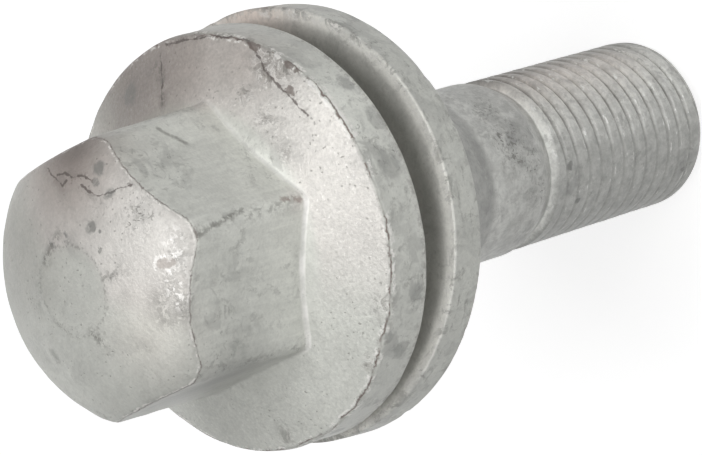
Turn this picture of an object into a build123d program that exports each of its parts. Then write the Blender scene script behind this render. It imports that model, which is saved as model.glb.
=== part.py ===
from build123d import *
import math
import os

os.makedirs("parts", exist_ok=True)

# A wheel bolt with a flat seat: one forging, and a loose washer that is held captive under its flange.
# It stands on its threaded tip with the head up. All lengths are in millimetres, angles in degrees.

# Threaded end
thread_diameter = 11.88
thread_length = 16.9
tip_chamfer_depth = 1.0
tip_chamfer_length = 1.2
tip_round = 1.2

# Neck between the thread and the collar
relief_depth = 0.5
relief_lead_length = 0.4
relief_taper_length = 1.5
neck_diameter = 12.1
neck_length = 5.2
neck_cone_length = 5.2
neck_round = 1.5

# Collar that keeps the washer on, and the groove in which the washer is loose
collar_diameter = 14.8
collar_length = 3.9
collar_bevel_angle = 45
groove_depth = 1.05
groove_root_bevel = 0.7

# Flange
flange_diameter = 27.4
flange_rim_height = 3.7
flange_cone_angle = 24.5
flange_lower_bevel = 0.45
flange_upper_round = 0.5

# Hexagonal head with a domed end
head_height = 17.55
hex_across_flats = 16.9
hex_draft_angle = 1.3
corner_crop = 0.1
corner_taper_angle = 3.0
end_disc_diameter = 5.7
crown_radius = 19.0
shoulder_inset = 0.18
shoulder_angle = 45
shoulder_round = 1.2
scallop_bevel = 0.12

# Loose washer, lying askew against the flange at one side
washer_diameter = 28.35
washer_thickness = 2.6
washer_edge_chamfer = 0.18
washer_bore_clearance = 0.34
washer_tilt = 5.0
washer_touch_direction = 132.0
washer_touch_gap = 0.1
washer_drop_gap = 0.6

# Heights above the tip, up to the groove
relief_height = thread_length + relief_lead_length
neck_height = relief_height + relief_taper_length
neck_cone_height = neck_height + neck_length
collar_height = neck_cone_height + neck_cone_length
collar_rim_height = collar_height + collar_length
groove_height = collar_rim_height + groove_depth * math.tan(math.radians(collar_bevel_angle))

# Radii of the turned shank
thread_radius = thread_diameter / 2
tip_radius = thread_radius - tip_chamfer_depth
relief_radius = thread_radius - relief_depth
neck_radius = neck_diameter / 2
collar_radius = collar_diameter / 2
groove_radius = collar_radius - groove_depth
flange_radius = flange_diameter / 2

# The washer lies between the collar, which it clears, and the flange, which it all but meets at one side
washer_lean = math.radians(washer_tilt)
washer_half_height = washer_thickness / 2 / math.cos(washer_lean)
washer_height = groove_height + washer_drop_gap + collar_radius * math.tan(washer_lean) + washer_half_height
flange_flat_radius = flange_radius - flange_lower_bevel
washer_reach = washer_half_height + flange_flat_radius * math.tan(washer_lean)
flange_height = washer_height + washer_reach + washer_touch_gap
washer_bore_radius = groove_radius + washer_thickness / 2 * math.sin(washer_lean) + washer_bore_clearance
touch_angle = math.radians(washer_touch_direction)
washer_normal = (
    -math.sin(washer_lean) * math.cos(touch_angle),
    -math.sin(washer_lean) * math.sin(touch_angle),
    math.cos(washer_lean),
)

# The hexagon runs down into the flange, whose cone would end in a point on the axis
flange_edge_height = flange_height + flange_rim_height
head_end_height = flange_height + head_height
cone_point_height = flange_edge_height + flange_radius * math.tan(math.radians(flange_cone_angle))
hex_length = head_end_height - flange_edge_height
hex_foot_radius = hex_across_flats / 2
hex_end_radius = hex_foot_radius - hex_length * math.tan(math.radians(hex_draft_angle))

# The domed end: a flat disc, a shallow crown and a conical shoulder that runs off past the hexagon's corners
disc_radius = end_disc_diameter / 2
shoulder_radius = hex_end_radius - shoulder_inset
crown_mid_radius = (disc_radius + shoulder_radius) / 2
crown_centre_height = head_end_height - math.sqrt(crown_radius**2 - disc_radius**2)
crown_mid_height = crown_centre_height + math.sqrt(crown_radius**2 - crown_mid_radius**2)
shoulder_height = crown_centre_height + math.sqrt(crown_radius**2 - shoulder_radius**2)
shoulder_slope = math.tan(math.radians(shoulder_angle))
corner_slope = math.tan(math.radians(corner_taper_angle))
corner_foot_radius = hex_foot_radius / math.cos(math.pi / 6) - corner_crop
shoulder_run = corner_foot_radius - shoulder_radius - corner_slope * (shoulder_height - flange_edge_height)
shoulder_width = shoulder_run / (1 - corner_slope * shoulder_slope)
corner_end_radius = shoulder_radius + shoulder_width
corner_end_height = shoulder_height - shoulder_width * shoulder_slope


def corner_at(section, radius, height):
    """The corner of a turned section at a radius from the axis and a height above the tip."""
    return section.vertices().sort_by_distance((radius, height, 0))[0]


# The forging: a drafted hexagon cut to the domed end, then the turned flange and shank below it
with BuildPart() as bolt:
    with BuildSketch(Plane.XY.offset(flange_edge_height)):
        RegularPolygon(hex_foot_radius, 6, major_radius=False, rotation=30)
    extrude(amount=hex_length, taper=hex_draft_angle)

    with BuildSketch(Plane.XZ) as dome_section:
        with BuildLine():
            ThreePointArc(
                (disc_radius, head_end_height),
                (crown_mid_radius, crown_mid_height),
                (shoulder_radius, shoulder_height),
            )
            Polyline(
                (shoulder_radius, shoulder_height),
                (corner_end_radius, corner_end_height),
                (corner_foot_radius, flange_edge_height),
                (0, flange_edge_height),
                (0, head_end_height),
                (disc_radius, head_end_height),
            )
        make_face()
        fillet(corner_at(dome_section, shoulder_radius, shoulder_height), radius=shoulder_round)
    revolve(axis=Axis.Z, mode=Mode.INTERSECT)
    shoulder_face = bolt.faces().filter_by(GeomType.CONE).sort_by(Axis.Z)[-1]
    chamfer(shoulder_face.edges().filter_by(GeomType.HYPERBOLA), length=scallop_bevel)

    with BuildSketch(Plane.XZ) as turned_section:
        with BuildLine():
            Polyline(
                (0, 0),
                (tip_radius, 0),
                (thread_radius, tip_chamfer_length),
                (thread_radius, thread_length),
                (relief_radius, relief_height),
                (neck_radius, neck_height),
                (neck_radius, neck_cone_height),
                (collar_radius, collar_height),
                (collar_radius, collar_rim_height),
                (groove_radius, groove_height),
                (groove_radius, flange_height),
                (flange_radius, flange_height),
                (flange_radius, flange_edge_height),
                (0, cone_point_height),
                close=True,
            )
        make_face()
        fillet(corner_at(turned_section, thread_radius, tip_chamfer_length), radius=tip_round)
        fillet(corner_at(turned_section, neck_radius, neck_cone_height), radius=neck_round)
        fillet(corner_at(turned_section, collar_radius, collar_height), radius=neck_round)
        chamfer(corner_at(turned_section, groove_radius, flange_height), length=groove_root_bevel)
        chamfer(corner_at(turned_section, flange_radius, flange_height), length=flange_lower_bevel)
        fillet(corner_at(turned_section, flange_radius, flange_edge_height), radius=flange_upper_round)
    revolve(axis=Axis.Z)
bolt.part.label = "bolt"
export_step(bolt.part, "parts/bolt.step")

# The washer: a flat ring with broken edges, set askew
with BuildPart() as washer:
    with BuildSketch(Plane(origin=(0, 0, washer_height), z_dir=washer_normal)) as washer_section:
        Circle(washer_diameter / 2)
        Circle(washer_bore_radius, mode=Mode.SUBTRACT)
    extrude(amount=washer_thickness / 2, both=True)
    chamfer(washer.edges(), length=washer_edge_chamfer)
washer.part.label = "washer"
export_step(washer.part, "parts/washer.step")
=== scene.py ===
import math

import bmesh
import bpy
import numpy as np
from mathutils import Matrix, Vector, noise


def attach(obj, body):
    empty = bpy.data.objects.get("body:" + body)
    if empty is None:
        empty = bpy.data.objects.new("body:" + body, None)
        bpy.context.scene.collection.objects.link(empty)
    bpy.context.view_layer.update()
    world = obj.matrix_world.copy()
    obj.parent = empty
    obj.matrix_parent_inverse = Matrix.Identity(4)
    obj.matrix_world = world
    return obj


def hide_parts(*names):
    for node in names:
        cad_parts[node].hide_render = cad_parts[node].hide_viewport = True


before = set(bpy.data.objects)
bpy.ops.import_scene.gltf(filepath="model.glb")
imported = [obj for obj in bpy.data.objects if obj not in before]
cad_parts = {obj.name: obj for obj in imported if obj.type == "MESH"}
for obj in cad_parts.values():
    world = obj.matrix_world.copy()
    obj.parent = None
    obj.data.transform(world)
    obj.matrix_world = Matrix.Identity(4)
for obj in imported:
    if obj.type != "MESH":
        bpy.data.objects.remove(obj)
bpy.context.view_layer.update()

# A wheel bolt with a loose washer, standing on its threaded tip. Shapes are worked out in millimetres.
MM = 0.001
AROUND = 240          # points round each ring, closer together at the hexagon's corners
CORNER_CLUSTER = 0.4

# Sizes of the solids that the two pieces stand for
PITCH = 1.25
THREAD_RADIUS = 5.94
THREAD_DEPTH = 0.44
TIP_RADIUS = 4.94
TIP_CHAMFER = 1.2
TIP_ROUND = 0.12
THREAD_LOW = 0.25
THREAD_HIGH = 17.0
RAGGED = 0.035           # how far the grooves wander
THREAD_START = 0.92      # height of a crest where the helix crosses the X axis
SNAP = 0.05              # rows this close to the zone's ends lie on them
POOLED_SIDE = math.radians(215)  # on this side the coating has filled most of the grooves
POOLED_SHARE = 0.86
# One turn of the thread's profile: rows in parts of the pitch, and depths in parts of the full depth
PHASES = [0, 0.17, 0.27, 0.315, 0.385, 0.45, 0.47, 0.5, 0.53, 0.55, 0.615, 0.685, 0.73, 0.83]
DEPTHS = [0, 0.012, 0.035, 0.09, 0.5, 0.93, 0.985, 1, 0.985, 0.93, 0.5, 0.09, 0.035, 0.012]
RELIEF_RADIUS = 5.44
RELIEF_LOW, RELIEF_HIGH = 17.36, 18.8
NECK_RADIUS = 6.05
NECK_HIGH = 24.0
COLLAR_RADIUS = 7.4
COLLAR_LOW, COLLAR_HIGH = 29.2, 33.1
GROOVE_RADIUS = 6.35
GROOVE_LOW, GROOVE_HIGH = 34.15, 38.57
FLANGE_LOW = 39.2666
FLANGE_EDGE = 42.9666
FLANGE_RADIUS = 13.7
FLANGE_INNER = 7.05
UNDERSIDE_RADIUS = 13.25
RIM_LOW = 39.72
CONE_START = 13.3
CONE_SLOPE = math.tan(math.radians(24.5))
HEX_APOTHEM = 8.45
HEX_DRAFT = math.tan(math.radians(1.3))
CORNER_FOOT_RADIUS = 9.657
CORNER_TAPER = math.tan(math.radians(3.0))
FOOT_ROUND = 0.19
TOP_ROUND_DOWN, TOP_ROUND_IN = 0.26, 0.24
HEAD_END = 56.8165
DOME_SHARES = [(0.985, 0.9, 7), (0.87, 0.42, 15), (0.4, 0.32, 7), (0.27, 0.02, 6)]  # from, to, rings
DISC_RADIUS = 2.85
CROWN_RADIUS = 19.0
SHOULDER_RADIUS = 7.956
WASHER_RADIUS = 14.175
WASHER_BORE = 6.803
WASHER_HALF = 1.3
WASHER_SEAM = -0.9
WASHER_HEIGHT = 36.702
WASHER_TILT = math.radians(5.0)
WASHER_TOUCH = math.radians(132.0)

# Colours of the coating and of its painted light and shade, and where it is stained, cracked or scratched
COOL_GREY = (0.6, 0.607, 0.566, 1)
WARM_AND_LIT_GREY = (0.645, 0.626, 0.594, 1)
DARK = (0.15, 0.145, 0.13, 1)
FOOT_HIGHLIGHT = (0.85, 0.84, 0.81, 1)
FLAKE_GLINT = (0.9, 0.88, 0.85, 1)
BARE = (0.36, 0.335, 0.31, 1)
CREST_GLINT = (0.9, 0.9, 0.87, 1)
RUBBED = (0.17, 0.15, 0.14, 1)
SCALLOP_GLINT = (0.88, 0.85, 0.82, 1)
SCALLOP_DARK = (0.16, 0.125, 0.115, 1)
LIP_GLINT = (0.88, 0.86, 0.83, 1)
LIP_RED_AND_SHADE = (0.165, 0.12, 0.105, 1)
CRACK_SMEAR_AND_SHADE = (0.2, 0.18, 0.165, 1)
CRACK = (0.11, 0.092, 0.084, 1)
RUST_BROWN = (0.3, 0.235, 0.21, 1)
SPOT_GREY = (0.2, 0.202, 0.19, 1)
PATCH_GREY = (0.24, 0.24, 0.23, 1)
GRAIN_GREY = (0.3, 0.29, 0.27, 1)
CHIP_BROWN = (0.4, 0.355, 0.325, 1)
GLINT = (0.93, 0.91, 0.88, 1)
FLAKE_GONE = (0.17, 0.14, 0.125, 1)
BROAD_GREY = (0.26, 0.26, 0.25, 1)
SCUFF_GREY = (0.25, 0.25, 0.235, 1)
BROWN_TINT = (1.07, 0.96, 0.93, 1)
SHANK_TINT = (1.0, 0.992, 1.015, 1)
WASHER_BROWN_TINT = (1.02, 0.9, 0.87, 1)
STREAK_GREY = (0.22, 0.22, 0.21, 1)
EDGE_HIGHLIGHT = (0.82, 0.81, 0.77, 1)
EDGE_DULL = (0.42, 0.42, 0.4, 1)
EDGE_GLINT = (0.92, 0.9, 0.87, 1)
EDGE_CHIP = (0.92, 0.9, 0.86, 1)
LIP_STEP = 0.05
LIP_FAR, SCALLOP_FAR = -5, -9  # stand for places far from the lip and the scallops
# Lip of the skin on the cone: direction in degrees and radius
LIP = [
    (180, 13.44), (188, 13.61), (194, 13.52), (203, 13.61), (210, 13.58), (218, 13.44), (224, 13.39),
    (229, 13.59), (237, 13.53), (248, 13.61), (257, 13.62), (265, 13.59), (275, 13.61), (283, 13.62),
    (289, 13.62), (296, 13.7), (303, 13.64), (307, 13.68), (312, 13.57), (322, 13.54), (331, 13.39),
    (346, 13.51), (359, 13.6), (375, 13.45), (392, 13.62), (410, 13.5), (431, 13.64), (455, 13.52),
    (470, 13.62), (494, 13.41), (512, 13.6), (529, 13.55),
]
# Stains mixed with painted shade and painted light: centre, reach, how much darker and how brown
STAINS_AND_PAINTED_SHADING = [
    ((11.8, 2.5, 43.7), 5.0, 0.56, 0.8),
    ((11.7, -3.0, 43.7), 3.6, 0.3, 0.6),
    ((7.2, -2.6, 55.4), 3.2, 0.5, 0.9),
    ((4.6, 3.4, 56.3), 4.0, 0.22, 0.2),
    ((-8.4, -1.8, 51.3), 4.2, 0.5, 0),
    ((9.6, -8.2, 43.4), 2.4, 0.2, 0.4),
    ((4.2, -13.05, 41.9), 2.4, -0.26, 0),
    ((-10.8, -3.0, 44.1), 3.2, -0.12, 0),
    ((4.6, -3.8, 15.0), 3.0, 0.02, 0.6),
    ((4.6, -3.8, 10.5), 3.0, 0, 0.55),
    ((4.6, -3.8, 6.0), 3.0, -0.02, 0.5),
    ((8.0, -3.2, 54.6), 1.4, 0.34, 0.2),
    ((7.9, -0.8, 55.2), 1.6, 0.15, 0.1),
    ((2.5, 6.5, 55.6), 4.5, 0.19, 0),
    ((0.2, -5.7, 56.1), 3.0, -0.07, 0),
    ((-0.4, -6.0, 20.9), 1.7, 0.1, 0),
    ((-10.2, 6.2, 43.7), 3.2, 0.14, 0),
    ((-8.45, -2.9, 50.8), 1.5, 0.22, 0),
    ((-8.4, -3.2, 48.6), 1.3, 0.09, 0),
    ((-4.6, -3.9, 56.0), 3.0, -0.21, 0.3),
    ((5.5, -2.2, 16.0), 2.4, 0.24, 0.3),
    ((-8.4, 0.7, 47.2), 1.7, 0.14, 0),
    ((0.5, -8.9, 50.5), 2.5, -0.05, 0),
    ((-0.5, -11.8, 43.8), 3.0, -0.05, 0),
]
# Height and brightness along the shank, with a painted highlight ring where the thread meets the relief and
# painted shade on the rise from the neck to the collar
SHANK_TONES_AND_PAINTED_LIGHT = [
    (0, 0.87), (17.06, 0.88), (17.17, 1.35), (17.29, 1.55), (17.38, 0.86), (18.3, 0.92), (19.5, 0.94),
    (21.5, 0.96), (22.3, 1.06), (23.7, 1.06), (24.3, 0.65), (27, 0.65), (30, 0.8), (34, 0.95), (36, 1),
]
# Worn zones: centre, reach and share
WEAR = [
    ((8.6, -10.0, 43.2), 2.6, 1.0), ((-8.0, -10.6, 43.1), 1.8, 0.8), ((-2.0, -13.2, 43.1), 0.8, 0.8),
    ((-3.6, -6.4, 55.5), 1.4, 0.9), ((2.3, -6.8, 55.6), 1.1, 0.9), ((-0.6, -4.4, 56.5), 0.9, 0.7),
    ((-1.0, -7.9, 55.2), 1.1, 1.0), ((5.4, -3.4, 55.8), 2.2, 0.7), ((0.2, -13.7, 41.3), 2.3, 1.0),
    ((-2.7, -13.4, 41.4), 2.0, 0.9), ((3.6, -13.2, 41.0), 2.2, 0.8), ((-8.1, -11.0, 40.6), 2.0, 1.0),
    ((-10.5, -8.9, 41.9), 2.0, 1.0), ((-10.9, -7.6, 43.1), 1.5, 0.8), ((-12.8, 1.5, 43.3), 2.2, 0.7),
    ((5.0, -6.6, 53.0), 2.6, 0.6), ((-3.2, -7.7, 52.2), 2.8, 0.65), ((-7.4, -5.3, 52.0), 2.0, 0.7),
    ((5.4, -8.6, 44.6), 1.6, 0.8), ((7.4, -7.6, 44.3), 1.5, 0.8), ((3.0, -9.3, 44.8), 1.2, 0.75),
    ((0.0, -6.0, 20.8), 2.3, 1.0), ((3.8, -4.7, 21.4), 2.2, 0.7), ((-3.6, -4.9, 20.2), 1.6, 0.6),
    ((-3.5, -4.8, 15.2), 1.3, 0.8), ((-4.6, -3.7, 2.6), 1.0, 0.8), ((1.0, -7.0, 27.0), 2.5, 0.6),
    ((4.0, -4.0, 56.1), 1.5, 0.75), ((2.9, -1.2, 56.7), 1.1, 0.8), ((-0.5, -3.9, 56.6), 1.2, 0.75),
    ((-3.7, -0.3, 56.7), 1.5, 0.8), ((-1.7, 1.9, 56.8), 1.3, 0.7), ((0.4, 3.4, 56.7), 1.1, 0.75),
    ((-7.1, -2.7, 55.4), 1.3, 0.75), ((-5.2, -2.6, 56.1), 1.2, 0.6), ((-4.6, 3.4, 56.1), 1.6, 0.6),
    ((6.0, 11.7, 43.2), 2.6, 0.9), ((-9.2, 9.9, 41.2), 2.4, 0.9), ((3.0, 7.8, 52.0), 2.6, 0.6),
    ((-6.8, 5.2, 50.5), 2.2, 0.7), ((1.5, 5.9, 21.0), 2.4, 0.9), ((-4.9, 3.4, 12.0), 2.0, 0.7),
    ((12.2, 6.2, 41.2), 2.2, 0.9), ((-13.4, 2.6, 41.0), 2.2, 0.9), ((7.9, 2.0, 51.0), 2.4, 0.6),
    ((-2.5, 5.0, 55.9), 2.0, 0.7), ((1.5, 13.6, 41.0), 2.0, 0.8), ((6.4, 3.0, 27.5), 2.4, 0.7),
]
# Cracks and curls, strokes and chips, as paths of points
TOP_LINES = [
    [
        (10.65, -8.36, 43.01), (9.3, -9.12, 43.27), (8.24, -9.35, 43.53), (6.52, -10.3, 43.65),
        (4.5, -11.33, 43.66),
    ],
    [
        (7.65, -0.5, 55.41), (7.0, -1.0, 55.6), (6.45, -1.5, 55.83), (6.1, -1.8, 55.92),
        (6.25, -2.15, 55.85),
    ],
    [
        (6.85, -1.45, 55.7), (6.75, -2.1, 55.7), (6.2, -2.75, 55.76), (6.1, -3.4, 55.75),
        (5.4, -4.15, 55.78),
    ],
    [
        (5.6, -3.2, 55.9), (5.0, -3.7, 55.93), (4.45, -4.4, 55.95), (4.3, -5.0, 55.85),
        (4.3, -5.85, 55.63), (4.1, -6.7, 55.37),
    ],
    [(12.73, -1.14, 43.38), (11.12, -1.18, 44.11), (9.58, -1.03, 44.82)],
    [
        (13.16, -1.68, 43.16), (12.87, -3.08, 43.18), (12.41, -4.82, 43.14), (11.42, -7.17, 43.05),
        (10.65, -8.36, 43.01),
    ],
]
CORNER_MARKS = [(-0.31, -9.07, 54.01), (-0.04, -9.14, 52.72), (0.25, -9.23, 50.91), (0.41, -9.28, 49.9)]
FLAT_SCRATCH = [(7.33, -5.34, 49.99), (6.76, -5.68, 49.8), (6.31, -5.95, 49.41), (5.8, -6.25, 49.16)]
RUST = [(0.34, -9.46, 46.55), (0.16, -9.51, 45.79), (-0.02, -9.54, 45.29)]
CHIP = [[(-1.05, -6.98, 55.66), (-1.25, -7.6, 55.4)]]
FLAKES_OFF = [
    [(10.37, -8.57, 43.07), (9.9, -9.05, 43.05)],
    [(8.2, -10.75, 42.97), (7.4, -11.35, 42.97)],
    [(6.7, -10.5, 43.54), (6.3, -10.8, 43.51)],
]
# Flakes that stand up at the lip, given painted highlights
FLAKE_HIGHLIGHTS = [
    [(9.05, -10.15, 42.95), (8.65, -10.4, 42.95)],
    [(6.5, -11.85, 43.0), (5.95, -12.2, 42.95)],
    [(4.9, -12.5, 43.1), (4.2, -12.8, 43.05)],
]
GLINTS = [[(0.1, -8.2, 55.0), (-0.7, -8.0, 55.1)], [(-2.1, -7.3, 55.4), (-3.2, -6.9, 55.4)]]
GRAINY = [[(-2.4, -6.85, 55.55), (-4.4, -6.45, 55.35)], [(-2.9, -5.9, 55.87), (-4.1, -5.5, 55.76)]]
SMUDGES = [
    [(-0.15, -3.04, 56.78), (-0.48, -3.53, 56.68), (-0.54, -4.15, 56.56)],
    [(-2.79, -0.17, 56.82), (-3.38, -0.28, 56.71), (-3.79, -0.63, 56.63)],
    [(-2.69, 4.48, 56.3), (-3.27, 4.42, 56.21)],
    [(2.37, 1.29, 56.81), (3.1, 0.45, 56.76), (3.4, -0.5, 56.71)],
    [(11.94, -0.86, 43.75), (11.12, -1.18, 44.11), (9.67, -1.14, 44.77)],
    [(12.3, -0.5, 43.6), (12.0, -0.3, 43.7)],
]
# Spots, patches and flecks: centre and reach
SPOTS = [
    ((5.96, -4.72, 55.44), 0.55), ((2.93, -3.26, 56.51), 0.42), ((3.27, -1.23, 56.7), 0.26),
    ((3.2, 0.4, 56.74), 0.24), ((1.38, -3.46, 56.65), 0.22), ((5.3, -4.3, 55.75), 0.32),
    ((4.25, -5.2, 55.85), 0.36), ((2.3, -3.9, 56.5), 0.2), ((11.42, 2.27, 43.9), 0.9),
    ((-2.32, -5.47, 15.76), 0.32), ((-4.56, -3.8, 14.71), 0.28), ((-4.61, -3.74, 2.61), 0.32),
]
WASHER_STAIN = (13.3, -3.4, 1.3)
WASHER_STAIN_REACH = 3.6
WASHER_CHIPS = [
    [(10.25, -9.6, 36.8), (9.6, -10.3, 36.75)],
    [(12.25, -6.9, 36.84), (12.1, -7.15, 36.8)],
    [(-9.2, 10.5, 38.9), (-8.7, 10.95, 38.9)],
]
PATCHES = [
    ((3.0, -13.35, 40.1), 1.1), ((-0.3, -13.7, 41.1), 1.1), ((5.6, -12.5, 40.5), 0.7),
    ((-7.9, -11.2, 40.75), 0.8), ((-10.74, -8.5, 41.07), 0.8), ((-9.89, -9.47, 42.65), 0.6),
    ((-9.0, 10.3, 41.2), 0.9), ((2.0, 13.55, 40.8), 1.0), ((11.5, 7.4, 41.0), 0.8),
    ((-13.6, -1.0, 41.6), 0.8),
]
FLECKS = [
    ((2.1, -6.85, 55.6), 1.1), ((0.6, -6.0, 21.8), 1.0), ((-0.5, -6.0, 21.1), 1.2),
    ((-1.6, -5.85, 19.9), 1.0), ((3.0, -5.2, 21.4), 1.0), ((-3.3, -5.1, 19.2), 0.8),
    ((2.0, 5.7, 20.6), 1.6),
]

turn = np.arange(AROUND) * 2 * math.pi / AROUND
angle = turn + CORNER_CLUSTER / 6 * np.sin(6 * turn)


def soft_min(a, b, width):
    """The lower of two values, rounded over where they meet."""
    return -width * np.logaddexp(-a / width, -b / width)


def smooth(x, low, high):
    """0 at low, 1 at high, and smooth between them."""
    t = np.clip((x - low) / (high - low), 0, 1)
    return t * t * (3 - 2 * t)


def rounded_path(corners, step, bend=4):
    """Points along a path of (radius, height, round) corners: rounded corners, and runs cut up to a step."""
    points = [np.array(corners[0][:2], float)]
    for before, here, after in zip(corners, corners[1:], corners[2:]):
        p, q, r = (np.array(c[:2], float) for c in (before, here, after))
        to_before, to_after = p - q, r - q
        start = q + to_before / np.linalg.norm(to_before) * here[2]
        end = q + to_after / np.linalg.norm(to_after) * here[2]
        points += run(points[-1], start, step)
        for t in np.linspace(0, 1, bend + 1)[1:]:
            points.append((1 - t) ** 2 * start + 2 * t * (1 - t) * q + t * t * end)
    return points + run(points[-1], np.array(corners[-1][:2], float), step)


def run(start, end, step):
    """Points from start to end, without the first."""
    count = max(1, math.ceil(np.linalg.norm(end - start) / step))
    return [start + (end - start) * t for t in np.linspace(0, 1, count + 1)[1:]]


def ring(radius, height):
    """One ring of points round the axis."""
    r = np.broadcast_to(radius, (AROUND,))
    return np.stack([r * np.cos(angle), r * np.sin(angle), np.broadcast_to(height, (AROUND,))], 1)


def ring_faces(first, count):
    """Quads between a row of rings that follow each other."""
    i = np.arange(AROUND)
    j = (i + 1) % AROUND
    return [
        (row + a, row + b, row + AROUND + b, row + AROUND + a)
        for row in range(first, first + (count - 1) * AROUND, AROUND)
        for a, b in zip(i, j)
    ]


def tip_envelope(height):
    """Radius of the bevelled tip and the thread's crests at a height."""
    bevel = TIP_RADIUS + height * (THREAD_RADIUS - TIP_RADIUS) / TIP_CHAMFER
    return soft_min(bevel, THREAD_RADIUS, TIP_ROUND)


def thread_rows():
    """Rows of points that follow the helix, flattened against the zone's two ends, and their faces."""
    pooled = 1 - POOLED_SHARE * smooth(np.cos(angle - POOLED_SIDE), 0.36, 0.88)
    per_turn = len(PHASES)
    turns = math.ceil((THREAD_HIGH - THREAD_LOW) / PITCH) + 1
    rows = []
    for k in range((turns + 2) * per_turn + 1):
        lead = THREAD_START + (k // per_turn - 2 + PHASES[k % per_turn]) * PITCH
        height = lead + PITCH * angle / (2 * math.pi)
        rough = fractal(ring(THREAD_RADIUS, height), 0.9, 3, 3.0)
        height = height + RAGGED * rough
        height = np.where(height < THREAD_LOW + SNAP, THREAD_LOW, height)
        height = np.where(height > THREAD_HIGH - SNAP, THREAD_HIGH, height)
        fade = smooth(height, THREAD_HIGH - 0.15, THREAD_HIGH - 0.9) * (1 - 0.25 * np.clip(rough, 0, 1))
        cut = THREAD_RADIUS - THREAD_DEPTH * DEPTHS[k % per_turn] * fade * pooled
        rows.append(ring(np.minimum(tip_envelope(height), cut), height))
    faces = []
    for k in range(len(rows) - 1):
        for a in range(AROUND):
            b, shift = (a + 1, 0) if a + 1 < AROUND else (0, per_turn)
            if k + 1 + shift < len(rows):
                low, high = k * AROUND, (k + 1) * AROUND
                faces.append((low + a, low + b + shift * AROUND, high + b + shift * AROUND, high + a))
    return rows, faces


def hex_radius(height):
    """The head's side at a height: flats with a little draft, and corners turned down and worn."""
    rise = height - FLANGE_EDGE
    across = (angle + math.pi / 6) % (math.pi / 3) - math.pi / 6
    flat = (HEX_APOTHEM - rise * HEX_DRAFT) / np.cos(across)
    return soft_min(flat, CORNER_FOOT_RADIUS - rise * CORNER_TAPER, 0.06)


def dome_height(radius):
    """The head's end: a flat disc, a shallow crown and a bevelled shoulder."""
    centre = HEAD_END - math.sqrt(CROWN_RADIUS**2 - DISC_RADIUS**2)
    crown = centre + np.sqrt(CROWN_RADIUS**2 - radius**2)
    shoulder = centre + math.sqrt(CROWN_RADIUS**2 - SHOULDER_RADIUS**2) - (radius - SHOULDER_RADIUS)
    return soft_min(soft_min(crown, HEAD_END + 0 * radius, 0.006), shoulder, 0.07)


def meet(height_of):
    """Where the head's side meets a turned face, as radius and height all round."""
    height = np.full(AROUND, 50.0)
    for _ in range(12):
        height = height_of(hex_radius(height))
    return hex_radius(height), height


def bend_rings(start, corner, end, count):
    """Rings that round a corner, from start to end, both left out of the next run."""
    return [
        ring(
            (1 - t) ** 2 * start[0] + 2 * t * (1 - t) * corner[0] + t * t * end[0],
            (1 - t) ** 2 * start[1] + 2 * t * (1 - t) * corner[1] + t * t * end[1],
        )
        for t in np.linspace(0, 1, count)
    ]


def cone_height(radius):
    """The flange's upper face, which rises towards the hexagon."""
    return FLANGE_EDGE + (FLANGE_RADIUS - radius) * CONE_SLOPE


def head_rings():
    """Rings from the flange's rim over the cone, up the hexagon and over the dome."""
    foot_radius, foot_height = meet(cone_height)
    top_radius, top_height = meet(dome_height)
    foot_out = foot_radius + FOOT_ROUND
    foot_up = foot_height + FOOT_ROUND
    top_down = top_height - TOP_ROUND_DOWN
    top_in = top_radius - TOP_ROUND_IN
    rings = []
    for t in [*np.linspace(0, 0.96, 21), 0.985]:
        radius = CONE_START + (foot_out - CONE_START) * t
        rings.append(ring(radius, cone_height(radius)))
    rings += bend_rings(
        (foot_out, cone_height(foot_out)), (foot_radius, foot_height), (hex_radius(foot_up), foot_up), 6
    )
    for t in [0.012, *np.linspace(0.04, 0.97, 19), 0.988]:
        height = foot_up + (top_down - foot_up) * t
        rings.append(ring(hex_radius(height), height))
    rings += bend_rings(
        (hex_radius(top_down), top_down), (top_radius, top_height), (top_in, dome_height(top_in)), 6
    )
    for share in np.concatenate([np.linspace(*span) for span in DOME_SHARES]):
        edge = SHOULDER_RADIUS + (top_in - SHOULDER_RADIUS) * smooth(share, 0.7, 1.0)
        rings.append(ring(share * edge, dome_height(share * edge)))
    return rings


def turned_rings():
    """Rings of the turned shank from the thread to the flange's upper edge."""
    shank = rounded_path(
        [
            (THREAD_RADIUS, THREAD_HIGH, 0),
            (RELIEF_RADIUS, RELIEF_LOW, 0.1),
            (NECK_RADIUS, RELIEF_HIGH, 0.3),
            (NECK_RADIUS, NECK_HIGH, 0.5),
            (COLLAR_RADIUS, COLLAR_LOW, 0.5),
            (COLLAR_RADIUS, COLLAR_HIGH, 0.15),
            (GROOVE_RADIUS, GROOVE_LOW, 0.12),
            (GROOVE_RADIUS, GROOVE_HIGH, 0.2),
            (FLANGE_INNER, FLANGE_LOW, 0.2),
            (UNDERSIDE_RADIUS, FLANGE_LOW, 0.15),
        ],
        0.6,
        3,
    )
    rim = rounded_path(
        [
            (UNDERSIDE_RADIUS, FLANGE_LOW, 0),
            (FLANGE_RADIUS, RIM_LOW, 0.2),
            (FLANGE_RADIUS, FLANGE_EDGE, 0.36),
            (CONE_START, cone_height(CONE_START), 0),
        ],
        0.3,
        9,
    )
    return [ring(*p) for p in shank + rim[1:]]


def tip_rings():
    """Rings of the flat tip and its bevel, out to where the thread starts."""
    bevel = (tip_envelope(THREAD_LOW), THREAD_LOW, 0)
    path = rounded_path([(0.3, 0, 0), (TIP_RADIUS - 0.1, 0, TIP_ROUND), bevel], 0.6, 4)
    return [ring(*p) for p in path]


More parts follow.
